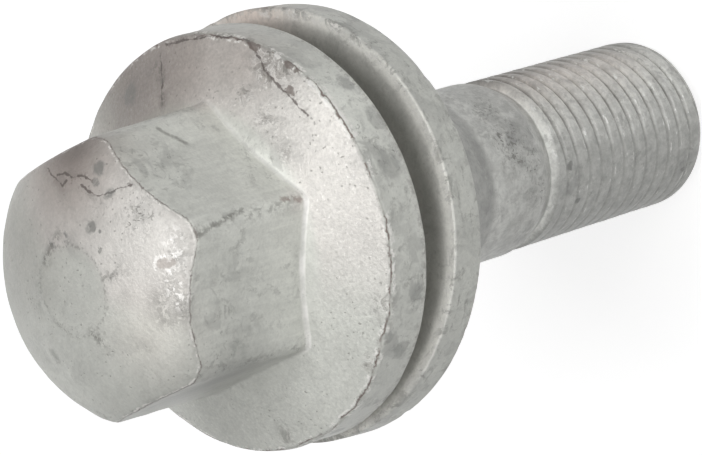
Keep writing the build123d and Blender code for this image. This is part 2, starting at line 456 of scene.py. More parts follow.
def closed_mesh(name, blocks, poles=()):
    """Welded blocks of (rings, faces), with a fan to each pole (first point of ring, height, upward)."""
    points, faces = [], []
    for rings, own_faces in blocks:
        first = sum(len(p) for p in points)
        faces += [tuple(int(v) + first for v in f) for f in own_faces]
        points += rings
    points = list(np.concatenate(points))
    for start, height, upward in poles:
        pole = len(points)
        points.append(np.array([0.0, 0.0, height]))
        for a in range(AROUND):
            b = (a + 1) % AROUND
            faces.append((start + a, start + b, pole) if upward else (start + b, start + a, pole))
    mesh = bpy.data.meshes.new(name)
    mesh.from_pydata([tuple(p * MM) for p in points], [], faces)
    shape = bmesh.new()
    shape.from_mesh(mesh)
    bmesh.ops.remove_doubles(shape, verts=shape.verts, dist=1e-7)
    bmesh.ops.dissolve_degenerate(shape, edges=shape.edges, dist=1e-8)
    bmesh.ops.recalc_face_normals(shape, faces=shape.faces)
    shape.to_mesh(mesh)
    shape.free()
    return mesh


def positions(mesh):
    """The mesh's points in millimetres."""
    flat = np.empty(len(mesh.vertices) * 3)
    mesh.vertices.foreach_get("co", flat)
    return flat.reshape(-1, 3) / MM


def normals(mesh):
    """The mesh's normals at its points."""
    flat = np.empty(len(mesh.vertices) * 3)
    mesh.vertices.foreach_get("normal", flat)
    return flat.reshape(-1, 3)


def fractal(points, scale, octaves, shift=0.0):
    """Smooth noise of about -1 to 1 at points in millimetres."""
    offset = Vector((shift, shift, shift))
    return np.array([noise.fractal(Vector(p) * scale + offset, 1.0, 2.0, octaves) for p in points])


def move_along_normals(mesh, amount):
    """Moves each point along its normal by an amount in millimetres."""
    moved = positions(mesh) + normals(mesh) * amount[:, None]
    mesh.vertices.foreach_set("co", (moved * MM).ravel())
    mesh.update()


def store(mesh, name, values):
    """Keeps one number per point for the material."""
    attribute = mesh.attributes.new(name, "FLOAT", "POINT")
    attribute.data.foreach_set("value", np.asarray(values, np.float32))


def falloff(points, centre, reach):
    """1 at a centre, falling off to 0 beyond its reach."""
    return np.exp(-np.sum((points - centre) ** 2, 1) / reach**2)


def zone(points, spots):
    """1 at the middle of any of several (centre, reach) spots, falling off to 0 round it."""
    return np.max([falloff(points, *spot) for spot in spots], 0)


def path_distance(points, paths):
    """Distance from each point to the nearest of several paths."""
    nearest = np.full(len(points), np.inf)
    for path in paths:
        for start, end in zip(np.array(path), np.array(path)[1:]):
            along = end - start
            share = np.clip((points - start) @ along / (along @ along), 0, 1)
            nearest = np.minimum(nearest, np.linalg.norm(points - start - share[:, None] * along, axis=1))
    return nearest


def stroke(points, paths, reach):
    """1 along any of several paths, falling off to 0 beside them."""
    return np.exp(-((path_distance(points, paths) / reach) ** 2))


def read_round(values, at):
    """Values given all round the axis, read at other angles."""
    return np.interp(at, angle, values, period=2 * math.pi)


def curvature(mesh):
    """How sharply the surface bends at each point, per millimetre: outward above 0, inward below."""
    p, n = positions(mesh), normals(mesh)
    ends = np.empty(len(mesh.edges) * 2, int)
    mesh.edges.foreach_get("vertices", ends)
    a, b = ends.reshape(-1, 2).T
    step = p[b] - p[a]
    bend = np.sum((n[b] - n[a]) * step, 1) / np.maximum(np.sum(step * step, 1), 1e-6)
    outward, inward = np.zeros(len(p)), np.zeros(len(p))
    for end in (a, b):
        np.maximum.at(outward, end, bend)
        np.minimum.at(inward, end, bend)
    return outward, inward


def add_piece(name, mesh, body, node):
    """Puts a finished mesh into the scene in place of a CAD node."""
    mesh.shade_smooth()
    piece = bpy.data.objects.new(name, mesh)
    bpy.context.scene.collection.objects.link(piece)
    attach(piece, body)
    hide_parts(node)
    return piece


# The bolt
tip, thread, head = tip_rings(), thread_rows(), head_rings()
turned = turned_rings()
body = turned + head[1:]
tip_count = len(tip) * AROUND
body_first = tip_count + len(thread[0]) * AROUND
last_ring = body_first + (len(body) - 1) * AROUND
bolt_mesh = closed_mesh(
    "forged_bolt",
    [(tip, ring_faces(0, len(tip))), thread, (body, ring_faces(0, len(body)))],
    [(0, 0.0, False), (last_ring, HEAD_END, True)],
)
place = positions(bolt_mesh)
axis_distance = np.hypot(place[:, 0], place[:, 1])
around = np.degrees(np.arctan2(place[:, 1], place[:, 0])) % 360
height = place[:, 2]

# The coating's skin on the cone ends in a ragged lip near the flange's edge, a little above the rim
lip_radius = np.interp(around, *zip(*LIP), period=360)
on_flange = (height > 40) & (height < 44.5) & (axis_distance > 11)
below_edge = np.maximum(FLANGE_EDGE - 0.1 - height, 0)
past_lip = np.where(on_flange, axis_distance - lip_radius + 0.6 * below_edge, LIP_FAR)
waviness = 0.012 + 0.028 * smooth(height, 39.0, 39.6)
inset = np.minimum(waviness * (fractal(place, 0.35, 3) - 0.7), 0) - LIP_STEP * smooth(past_lip, -0.03, 0.05)
move_along_normals(bolt_mesh, inset * smooth(height, 0, 0.3))

outward, inward = curvature(bolt_mesh)
store(bolt_mesh, "edge", np.clip(outward / 3, 0, 1))
# Painted shade in the thread's grooves, stronger on the +X side.
groove_shade_side = 0.35 + 0.65 * smooth(place[:, 0], -4, 2)
store(bolt_mesh, "painted_groove_shade", np.clip(-inward / 4, 0, 1) * (height < 16.8) * groove_shade_side)
by_front = smooth(place[:, 1], -3.8, -5.2)
# Painted highlight in the fillet where the hexagon meets the cone, stronger towards the front.
foot_highlight_share = 0.45 + by_front * (0.25 + 0.6 * smooth(place[:, 0], 0.4, -0.4))
store(bolt_mesh, "painted_foot_highlight", np.clip(-inward / 2, 0, 1) * (height > 44) * foot_highlight_share)
store(bolt_mesh, "past_lip", past_lip)
on_cone = smooth(height, 42.9, 43.1) * smooth(axis_distance, 9.0, 9.8) * (height < 46)
on_cone *= smooth(past_lip, 0.1, 0)
on_dome = smooth(height, 51, 52) * smooth(normals(bolt_mesh)[:, 2], 0.3, 0.6)
# Painted light: the cone and the dome take the warmer, lighter grey on their sunny side; the dome's middle
# disc keeps the cool grey as its own colour.
sunny_side = smooth((0.6 * place[:, 0] - 0.8 * place[:, 1]) / np.maximum(axis_distance, 1), 0.1, 0.6)
store(bolt_mesh, "raw", np.maximum(on_cone, on_dome))
store(bolt_mesh, "warmth_and_painted_light", on_cone * sunny_side + on_dome * sunny_side * smooth(axis_distance, 2.3, 3.1))
store(bolt_mesh, "shank", smooth(height, 34, 30))
side_radius, side_height = meet(dome_height)
turned_by = np.arctan2(place[:, 1], place[:, 0])
above = height - read_round(side_height, turned_by)
inside = read_round(side_radius, turned_by) - axis_distance
store(bolt_mesh, "scallop", np.where(height > 50, above + inside, SCALLOP_FAR))
off_corner = np.abs(turned_by % (math.pi / 3) - math.pi / 6) * axis_distance
along_corner = smooth(height, 44.8, 45.4) * smooth(height, 55.4, 54.6)
store(bolt_mesh, "corner", np.exp(-((off_corner / 0.4) ** 2)) * along_corner)
on_rim = smooth(height, 39.4, 40.0) * smooth(height, 43.0, 42.6) * (axis_distance > 12)
wear = 0.35 * on_rim + 0.15 * smooth(height, 30, 24)
for centre, reach, share in WEAR:
    wear = np.maximum(wear, share * falloff(place, centre, reach))
store(bolt_mesh, "wear", wear)
store(bolt_mesh, "patch", zone(place, PATCHES))
store(bolt_mesh, "fleck", zone(place, FLECKS))
store(bolt_mesh, "smudge", stroke(place, SMUDGES, 0.3))
store(bolt_mesh, "chip", np.minimum(path_distance(place, CHIP), 3))
store(bolt_mesh, "grainy", stroke(place, GRAINY, 0.75))
store(bolt_mesh, "glint", stroke(place, GLINTS, 0.8))
store(bolt_mesh, "flake", stroke(place, FLAKE_HIGHLIGHTS, 0.27) - stroke(place, FLAKES_OFF, 0.34))
on_thread = smooth(height, 17.4, 17.2)
on_side = smooth(height, 44, 45) * smooth(np.abs(normals(bolt_mesh)[:, 2]), 0.5, 0.2)
# Painted light and shade: the thread is lighter on its +X side and darker towards its +X edge, and the flats
# are lighter low down and towards the front; the thread is also a little darker on the pooled side.
tone_and_painted_light = np.interp(height, *zip(*SHANK_TONES_AND_PAINTED_LIGHT)) * (1 + on_thread * 0.34 * smooth(place[:, 0], -3, 3))
tone_and_painted_light *= 1 - 0.07 * on_thread * smooth(np.cos(turned_by - POOLED_SIDE), 0.45, 0.95)
tone_and_painted_light *= 1 + on_side * (0.04 + 0.19 * smooth(height, 51.5, 46.5) * (0.3 + 0.7 * by_front))
tone_and_painted_light *= 1 - 0.34 * on_thread * smooth(place[:, 0], 4.2, 5.3)
# Painted highlight along the fillet where the hexagon meets the cone.
foot_radius, foot_height = (read_round(values, turned_by) for values in meet(cone_height))
off_foot = np.hypot(axis_distance - foot_radius, height - foot_height)
tone_and_painted_light *= 1 + 0.13 * np.exp(-((off_foot / 0.55) ** 2)) * smooth(place[:, 0], -0.4, 0.8)
clean = np.ones(len(place))
# Stains and painted shade darken the surface, painted light lightens it, and stains brown it.
for centre, reach, share, brown in STAINS_AND_PAINTED_SHADING:
    hold = falloff(place, centre, reach)
    tone_and_painted_light *= 1 - share * hold
    clean *= 1 - brown * hold
store(bolt_mesh, "tone_and_painted_light", tone_and_painted_light)
store(bolt_mesh, "brown", 1 - clean)
bolt = add_piece("forged_bolt", bolt_mesh, "bolt", "bolt")

# The washer
ring_path = rounded_path(
    [
        (WASHER_BORE, WASHER_SEAM, 0),
        (WASHER_BORE, -WASHER_HALF, 0.16),
        (WASHER_RADIUS, -WASHER_HALF, 0.2),
        (WASHER_RADIUS, WASHER_HALF, 0.2),
        (WASHER_BORE, WASHER_HALF, 0.16),
        (WASHER_BORE, WASHER_SEAM, 0),
    ],
    0.45,
    5,
)
washer_mesh = closed_mesh("loose_washer", [([ring(*p) for p in ring_path], ring_faces(0, len(ring_path)))])
outward, _ = curvature(washer_mesh)
store(washer_mesh, "edge", np.clip(outward / 3, 0, 1))
washer_place = positions(washer_mesh)
reach_out = np.hypot(washer_place[:, 0], washer_place[:, 1])
top_face = smooth(washer_place[:, 2], 1.1, 1.25)
store(washer_mesh, "warmth_and_painted_light", 0.5 * top_face)
store(washer_mesh, "across", washer_place[:, 2])
store(washer_mesh, "brown", 0.9 * falloff(washer_place, WASHER_STAIN, WASHER_STAIN_REACH))
# Painted light and shade on the washer's face towards the flange: darker near the bore where the flange
# shades it, lighter towards the outer edge, and dimmed again on the rounding.
painted_light_band = 0.42 * smooth(reach_out, 13.0, 13.75) - 0.26 * smooth(reach_out, 13.92, 14.1)
store(washer_mesh, "tone_and_painted_light", 0.96 + top_face * (painted_light_band - 0.1 * smooth(reach_out, 13.1, 12.3)))
store(washer_mesh, "wear", 0.25 + 0.4 * smooth(reach_out, 13.9, 14.1))
nicks = 0.06 * np.clip(outward / 3, 0, 1) * smooth(fractal(washer_place, 0.9, 2, 5.0), 0.4, 0.7)
move_along_normals(washer_mesh, np.minimum(0.02 * (fractal(washer_place, 0.4, 3) - 0.8), 0) - nicks)
tilt_axis = (-math.sin(WASHER_TOUCH), math.cos(WASHER_TOUCH), 0)
lean = Matrix.Rotation(-WASHER_TILT, 4, Vector(tilt_axis))
washer_mesh.transform(Matrix.Translation((0, 0, WASHER_HEIGHT * MM)) @ lean)
washer = add_piece("loose_washer", washer_mesh, "washer", "washer")


class Nodes:
    """Short ways to add shader nodes to one material."""

    def __init__(self, name):
        self.material = bpy.data.materials.new(name)
        self.material.use_nodes = True
        self.tree = self.material.node_tree
        self.shader = self.tree.nodes["Principled BSDF"]
        place = self.add("ShaderNodeTexCoord").outputs["Object"]
        self.mm = self.vector("MULTIPLY", place, (1000.0, 1000.0, 1000.0))

    def add(self, kind, inputs=(), **settings):
        node = self.tree.nodes.new(kind)
        for key, value in settings.items():
            setattr(node, key, value)
        for socket, value in dict(inputs).items():
            self.put(node.inputs[socket], value)
        return node

    def put(self, socket, value):
        if isinstance(value, bpy.types.NodeSocket):
            self.tree.links.new(value, socket)
        else:
            socket.default_value = value

    def math(self, operation, a, b=0.0, clamp=False):
        return self.add("ShaderNodeMath", {0: a, 1: b}, operation=operation, use_clamp=clamp).outputs[0]

    def product(self, *values):
        total = values[0]
        for value in values[1:]:
            total = self.math("MULTIPLY", total, value)
        return total

    def vector(self, operation, a, b=(0.0, 0.0, 0.0)):
        return self.add("ShaderNodeVectorMath", {0: a, 1: b}, operation=operation).outputs[0]

    def range(self, value, low, high, to_low=0.0, to_high=1.0):
        inputs = {"Value": value, "From Min": low, "From Max": high, "To Min": to_low, "To Max": to_high}
        return self.add("ShaderNodeMapRange", inputs, interpolation_type="SMOOTHSTEP").outputs[0]

    def noise(self, scale, detail=2.0, roughness=0.5, distortion=0.0, stretch=None):
        vector = self.vector("MULTIPLY", self.mm, stretch) if stretch else self.mm
        inputs = {"Vector": vector, "Scale": scale, "Detail": detail}
        inputs.update({"Roughness": roughness, "Distortion": distortion})
        return self.add("ShaderNodeTexNoise", inputs).outputs[0]

    def mix(self, share, a, b, blend="MIX"):
        node = self.add("ShaderNodeMix", {0: share, 6: a, 7: b}, data_type="RGBA", blend_type=blend)
        return node.outputs[2]

    def attribute(self, name):
        return self.add("ShaderNodeAttribute", attribute_name=name).outputs["Fac"]

    def grey(self, value):
        return self.add("ShaderNodeCombineXYZ", {0: value, 1: value, 2: value}).outputs[0]

    def jittered(self, value, noise, amount):
        """A value shifted by noise, up to half the amount either way."""
        return self.math("ADD", value, self.math("MULTIPLY", self.math("SUBTRACT", noise, 0.5), amount))

    def gap(self, a, b):
        """Distance between two positions."""
        return self.add("ShaderNodeVectorMath", {0: a, 1: b}, operation="DISTANCE").outputs["Value"]

    def wobbled(self, scale, amount, base=None):
        """Positions shaken by noise, so that lines drawn with them come out ragged."""
        inputs = {"Vector": self.mm, "Scale": scale, "Detail": 3.0}
        shake = self.add("ShaderNodeTexNoise", inputs).outputs["Color"]
        shift = self.vector("SUBTRACT", shake, (0.5, 0.5, 0.5))
        shift = self.vector("MULTIPLY", shift, (amount, amount, amount))
        return self.vector("ADD", base or self.mm, shift)

    def distance(self, position, path, flatten=(1.0, 1.0, 1.0)):
        """Distance to a path of points; a lower flatten value makes that direction count less."""
        squash = Vector(flatten)
        position = self.vector("MULTIPLY", position, flatten)
        nearest = None
        for start, end in zip(path, path[1:]):
            a, b = Vector(start) * squash, Vector(end) * squash
            along = b - a
            from_start = self.vector("SUBTRACT", position, tuple(a))
            slope = tuple(along / along.length_squared)
            dot = self.add("ShaderNodeVectorMath", {0: from_start, 1: slope}, operation="DOT_PRODUCT")
            share = self.math("ADD", dot.outputs["Value"], 0.0, clamp=True)
            scaled = self.add("ShaderNodeVectorMath", {0: tuple(along), "Scale": share}, operation="SCALE")
            gap = self.gap(from_start, scaled.outputs[0])
            nearest = gap if nearest is None else self.math("MINIMUM", nearest, gap)
        return nearest


def flake_layers(n, tone_and_painted_light, warmth_and_painted_light, wear, spread):
    """Base colour with patches, scuffs, dots and veins; spread lets them out of the worn zones."""
    clouds = n.noise(0.22, 3.0, 0.55, 0.4)
    mottle = n.noise(0.8, 5.0, 0.6, 0.5)
    grain = n.noise(5.0, 3.0, 0.65)
    scuffs = n.noise(1.0, 7.0, 0.72, 0.6)
    dots = n.noise(2.2, 5.0, 0.72, 0.3)
    # The warmer, lighter grey is partly the coating's tint and partly painted light.
    colour = n.mix(warmth_and_painted_light, COOL_GREY, WARM_AND_LIT_GREY)
    level = n.math("ADD", n.range(mottle, 0.3, 0.7, 0.94, 1.05), n.range(clouds, 0.3, 0.7, -0.03, 0.03))
    level = n.math("ADD", level, n.range(grain, 0.3, 0.7, -0.05, 0.05))
    colour = n.mix(1.0, colour, n.grey(n.product(level, tone_and_painted_light)), "MULTIPLY")
    around = n.product(n.range(clouds, 0.42, 0.6, 0.0, 0.45), spread)
    prone = n.math("ADD", around, n.product(wear, 0.8), clamp=True)
    broad = n.math("ADD", n.noise(0.35, 5.0, 0.62, 0.6), n.product(wear, 0.1))
    colour = n.mix(n.product(n.range(broad, 0.56, 0.63), prone, 0.4), colour, BROAD_GREY)
    faint = n.product(n.range(scuffs, 0.53, 0.61), n.math("ADD", prone, n.product(spread, 0.3)), 0.33)
    colour = n.mix(faint, colour, SCUFF_GREY)
    fine = n.math("ADD", dots, n.product(wear, 0.025))
    speckle = n.product(n.range(fine, 0.595, 0.64), n.range(mottle, 0.45, 0.54), prone)
    colour = n.mix(n.product(speckle, 0.55), colour, DARK)
    ridge = n.math("ABSOLUTE", n.math("SUBTRACT", n.noise(0.6, 3.0, 0.55, 0.3), 0.5))
    vein = n.product(n.range(ridge, 0.003, 0.013, 1.0, 0.0), n.range(scuffs, 0.5, 0.57), prone, spread)
    colour = n.mix(n.product(vein, 0.32), colour, DARK)
    return colour, mottle, grain, clouds, scuffs, dots


def finish_coating(n, colour, roughness, relief):
    """Connects the layers to the shader."""
    n.put(n.shader.inputs["Base Color"], colour)
    n.shader.inputs["Metallic"].default_value = 0.2
    n.shader.inputs["Specular IOR Level"].default_value = 0.25
    n.put(n.shader.inputs["Roughness"], roughness)
    bump = n.add("ShaderNodeBump", {"Strength": 0.6, "Distance": 0.00004, "Height": relief})
    n.put(n.shader.inputs["Normal"], bump.outputs[0])
    return n.material


def near(n, value, centre, inner, outer):
    """1 where a value is close to a centre, 0 further off."""
    return n.range(n.math("ABSOLUTE", n.math("SUBTRACT", value, centre)), inner, outer, 1.0, 0.0)


def nearest_path(n, position, paths, flatten=(1.0, 1.0, 1.0)):
    """Distance to the nearest of several paths."""
    nearest = None
    for path in paths:
        gap = n.distance(position, path, flatten)
        nearest = gap if nearest is None else n.math("MINIMUM", nearest, gap)
    return nearest


def nearest_spot(n, position, spots):
    """Distance to the nearest of several (centre, reach) spots, in parts of its reach."""
    nearest = None
    for centre, reach in spots:
        gap = n.math("DIVIDE", n.gap(position, centre), reach)
        nearest = gap if nearest is None else n.math("MINIMUM", nearest, gap)
    return nearest


def bolt_coating():
    """Dull silver flake coating on a forged bolt, with the marks of handling and painted light and shade."""
    n = Nodes("flake_coating")
    warmth_and_painted_light, raw, edge, painted_groove_shade, painted_foot_highlight, past_lip = map(
        n.attribute, ("warmth_and_painted_light", "raw", "edge", "painted_groove_shade", "painted_foot_highlight", "past_lip")
    )
    shank, tone_and_painted_light, brown, scallop, corner, wear = map(
        n.attribute, ("shank", "tone_and_painted_light", "brown", "scallop", "corner", "wear")
    )
    spread = n.range(raw, 0.0, 1.0, 1.0, 0.3)
    colour, mottle, grain, clouds, scuffs, dots = flake_layers(n, tone_and_painted_light, warmth_and_painted_light, wear, spread)
    breakup = n.noise(1.6, 4.0, 0.65)
    coarse = n.noise(4.4, 4.0, 0.66)
    head = n.math("SUBTRACT", 1.0, shank)
    level = n.add("ShaderNodeSeparateXYZ", {0: n.mm}).outputs["Z"]

    # The flats keep faint streaks along the head from the forging die
    flat = n.product(n.math("SUBTRACT", 1.0, raw), n.range(level, 44.2, 45.2))
    streaks = n.range(n.noise(2.6, 4.0, 0.65, 0.2, (1.0, 1.0, 0.1)), 0.3, 0.7, 0.95, 1.05)
    colour = n.mix(flat, colour, n.mix(1.0, colour, n.grey(streaks), "MULTIPLY"))

    # Stained places are browner, and a pale painted highlight lies along the fillet where the hexagon meets
    # the cone
    colour = n.mix(brown, colour, BROWN_TINT, "MULTIPLY")
    colour = n.mix(n.product(painted_foot_highlight, painted_foot_highlight, n.range(mottle, 0.4, 0.6, 0.2, 0.5)), colour, FOOT_HIGHLIGHT)

    # The cone and the dome are rough from forging: pits, flakes with painted glints, and places where the
    # skin came off, with painted highlights on their torn edges
    low = n.range(level, 48.0, 50.0, 1.0, 0.25)
    rough = n.mix(1.0, colour, n.grey(n.range(coarse, 0.32, 0.68, 0.92, 1.07)), "MULTIPLY")
    colour = n.mix(n.product(raw, low), colour, rough)
    cells = n.add("ShaderNodeTexVoronoi", {"Vector": n.wobbled(4.0, 0.35), "Scale": 3.0})
    chance = n.add("ShaderNodeSeparateColor", {0: cells.outputs["Color"]})
    pit = n.product(
        n.range(cells.outputs["Distance"], 0.12, 0.28, 1.0, 0.0),
        n.range(chance.outputs[0], 0.6, 0.75),
        raw,
        n.range(n.math("ADD", clouds, n.product(wear, 0.16)), 0.41, 0.52),
    )
    colour = n.mix(n.product(pit, 0.5), colour, DARK)
    shiny = n.math("ADD", n.product(warmth_and_painted_light, 0.7), n.product(raw, 0.3))
    sparkle_glint = n.product(n.range(grain, 0.6, 0.67), n.range(breakup, 0.47, 0.58), shiny)
    colour = n.mix(n.product(sparkle_glint, low, n.range(brown, 0.1, 0.5, 0.72, 0.1)), colour, FLAKE_GLINT)
    torn = n.product(n.range(wear, 0.5, 0.9), raw, low)
    bare = n.product(torn, n.range(scuffs, 0.5, 0.54))
    colour = n.mix(n.product(bare, 0.42), colour, BARE)
    colour = n.mix(n.product(torn, near(n, scuffs, 0.495, 0.006, 0.022), 0.7), colour, FLAKE_GLINT)
    colour = n.mix(n.product(torn, n.range(scuffs, 0.575, 0.61), 0.6), colour, DARK)

    # Shank: painted shade in the thread roots, cloudy grey neck, and painted glints on the crests
    colour = n.mix(n.product(painted_groove_shade, 0.6), colour, DARK)
    cloudy = n.range(n.noise(1.2, 6.0, 0.7, 0.4), 0.34, 0.66, 0.84, 1.1)
    colour = n.mix(shank, colour, n.mix(1.0, colour, n.grey(cloudy), "MULTIPLY"))
    colour = n.mix(shank, colour, SHANK_TINT, "MULTIPLY")
    marks = n.product(n.range(n.noise(1.7, 7.0, 0.75, 0.4), 0.56, 0.6), wear, shank)
    colour = n.mix(n.product(marks, 0.45), colour, DARK)
    dashes = n.noise(2.4, 3.0, 0.6, 0.0, (0.45, 0.45, 2.0))
    crest_glint = n.product(edge, shank, n.range(dashes, 0.57, 0.64), n.range(mottle, 0.47, 0.54))
    colour = n.mix(n.product(crest_glint, 0.9), colour, CREST_GLINT)

    # Edges and corners of the head are rubbed dark; a line of painted glints and a dark line run along the
    # scallops
    rub = n.product(edge, n.range(breakup, 0.5, 0.6), head)
    colour = n.mix(n.product(rub, 0.4), colour, RUBBED)
    worn = n.product(corner, n.range(scuffs, 0.47, 0.58), n.range(dots, 0.42, 0.54))
    colour = n.mix(n.product(worn, 0.42), colour, DARK)
    uneven = n.jittered(scallop, breakup, 0.65)
    scallop_glint = n.product(near(n, uneven, 0.16, 0.04, 0.15), n.range(mottle, 0.42, 0.52))
    scallop_glint = n.product(scallop_glint, n.range(dots, 0.45, 0.53))
    colour = n.mix(n.product(scallop_glint, 0.75), colour, SCALLOP_GLINT)
    scallop_line = n.product(near(n, uneven, -0.03, 0.02, 0.11), n.range(dots, 0.4, 0.52, 0.35, 1.0), 0.72)
    colour = n.mix(scallop_line, colour, SCALLOP_DARK)

    # The lip: a dark reddish ragged line, partly painted shade in the step, with painted glints on both
    # sides
    ragged = n.jittered(past_lip, breakup, 0.55)
    beside_lip = n.math("MAXIMUM", near(n, ragged, -0.16, 0.03, 0.12), near(n, ragged, 0.2, 0.05, 0.16))
    lip_glint = n.product(beside_lip, n.range(dots, 0.46, 0.54), n.range(mottle, 0.43, 0.53))
    colour = n.mix(n.product(lip_glint, 0.8), colour, LIP_GLINT)
    lip_mark_and_shade = n.product(near(n, ragged, 0.0, 0.015, 0.075), n.range(mottle, 0.42, 0.53, 0.15, 0.85))
    colour = n.mix(lip_mark_and_shade, colour, LIP_RED_AND_SHADE)

    # Dashes round the flat disc at the head's end
    flat_place = n.vector("MULTIPLY", n.mm, (1.0, 1.0, 0.0))
    radius = n.add("ShaderNodeVectorMath", {0: flat_place}, operation="LENGTH").outputs["Value"]
    off_disc = n.jittered(radius, mottle, 1.3)
    dash = n.product(near(n, off_disc, DISC_RADIUS, 0.05, 0.2), n.range(coarse, 0.48, 0.58), raw)
    colour = n.mix(n.product(dash, 0.38), colour, DARK)

    # Cracks and curls with a smear and painted shade beside them, scratches and spots
    drawn = n.wobbled(5.0, 0.12, n.wobbled(1.2, 0.4))
    line = nearest_path(n, drawn, TOP_LINES, (1.0, 1.0, 0.25))
    width = n.range(breakup, 0.4, 0.6, -0.03, 0.04)
    thin = n.range(n.math("SUBTRACT", line, width), 0.015, 0.085, 1.0, 0.0)
    thin = n.product(thin, n.range(scuffs, 0.58, 0.64, 1.0, 0.25))
    crack_smear_and_shade = n.product(n.range(line, 0.1, 0.6, 1.0, 0.0), n.range(scuffs, 0.47, 0.58))
    colour = n.mix(n.product(crack_smear_and_shade, 0.3), colour, CRACK_SMEAR_AND_SHADE)
    colour = n.mix(n.product(thin, 0.82), colour, CRACK)
    shaken = n.wobbled(3.4, 0.34, n.wobbled(1.2, 0.3))
    mark = n.range(n.distance(shaken, CORNER_MARKS), 0.05, 0.28, 1.0, 0.0)
    colour = n.mix(n.product(mark, n.range(dots, 0.38, 0.48), 0.6), colour, DARK)
    colour = n.mix(n.range(n.distance(shaken, FLAT_SCRATCH), 0.06, 0.3, 0.6, 0.0), colour, DARK)
    rust = n.product(n.range(n.distance(shaken, RUST), 0.06, 0.34, 1.0, 0.0), n.range(breakup, 0.34, 0.46))
    colour = n.mix(n.product(rust, 0.7), colour, RUST_BROWN)
    far = n.wobbled(4.0, 0.25, n.wobbled(0.9, 0.9))
    spot = n.range(nearest_spot(n, far, SPOTS), 0.55, 1.05, 1.0, 0.0)
    spot = n.product(spot, n.range(scuffs, 0.38, 0.52, 0.4, 1.0))
    colour = n.mix(n.product(spot, 0.72), colour, SPOT_GREY)
    patch = n.jittered(n.attribute("patch"), mottle, 1.4)
    colour = n.mix(n.range(patch, 0.4, 0.66, 0.0, 0.42), colour, PATCH_GREY)
    smudge = n.product(n.attribute("smudge"), n.range(dots, 0.44, 0.54))
    colour = n.mix(n.product(smudge, 0.6), colour, DARK)
    fleck = n.product(n.attribute("fleck"), n.range(n.noise(3.8, 1.8, 0.5, 0.8), 0.58, 0.615))
    colour = n.mix(n.product(fleck, 0.72), colour, DARK)

    # Beside a corner the dome's skin is chipped: grey grainy patches, a bare place with a painted highlight
    # on its raised rim, and painted glints
    grainy = n.product(n.attribute("grainy"), n.range(dots, 0.41, 0.5), 0.58)
    colour = n.mix(grainy, colour, GRAIN_GREY)
    chip = n.jittered(n.attribute("chip"), breakup, 0.7)
    colour = n.mix(n.range(chip, 0.24, 0.38, 0.62, 0.0), colour, CHIP_BROWN)
    glint = n.product(n.attribute("glint"), n.range(dots, 0.52, 0.58))
    chip_rim_glint = n.product(near(n, chip, 0.5, 0.05, 0.25), n.range(dots, 0.5, 0.56), 0.85)
    glint = n.math("MAXIMUM", glint, chip_rim_glint)
    colour = n.mix(n.product(glint, 0.9), colour, GLINT)

    # Flakes at the lip: some came off, and some stand up with a painted highlight
    flake = n.jittered(n.attribute("flake"), dots, 1.6)
    flake = n.product(flake, n.math("ABSOLUTE", n.attribute("flake")), n.range(scuffs, 0.42, 0.54, 0.2, 1.0))
    colour = n.mix(n.range(flake, -0.42, -0.2, 0.75, 0.0), colour, FLAKE_GONE)
    colour = n.mix(n.range(flake, 0.2, 0.42, 0.0, 0.7), colour, GLINT)

    polished = n.product(n.math("ADD", glint, sparkle_glint), 0.12)
    roughness = n.math("SUBTRACT", n.range(mottle, 0.3, 0.7, 0.37, 0.46), polished)
    relief = n.math("ADD", n.product(grain, 0.8), n.product(raw, coarse, 1.6))
    relief = n.math("SUBTRACT", relief, n.math("ADD", n.product(pit, 0.8), n.product(bare, 1.2)))
    return finish_coating(n, colour, roughness, relief)


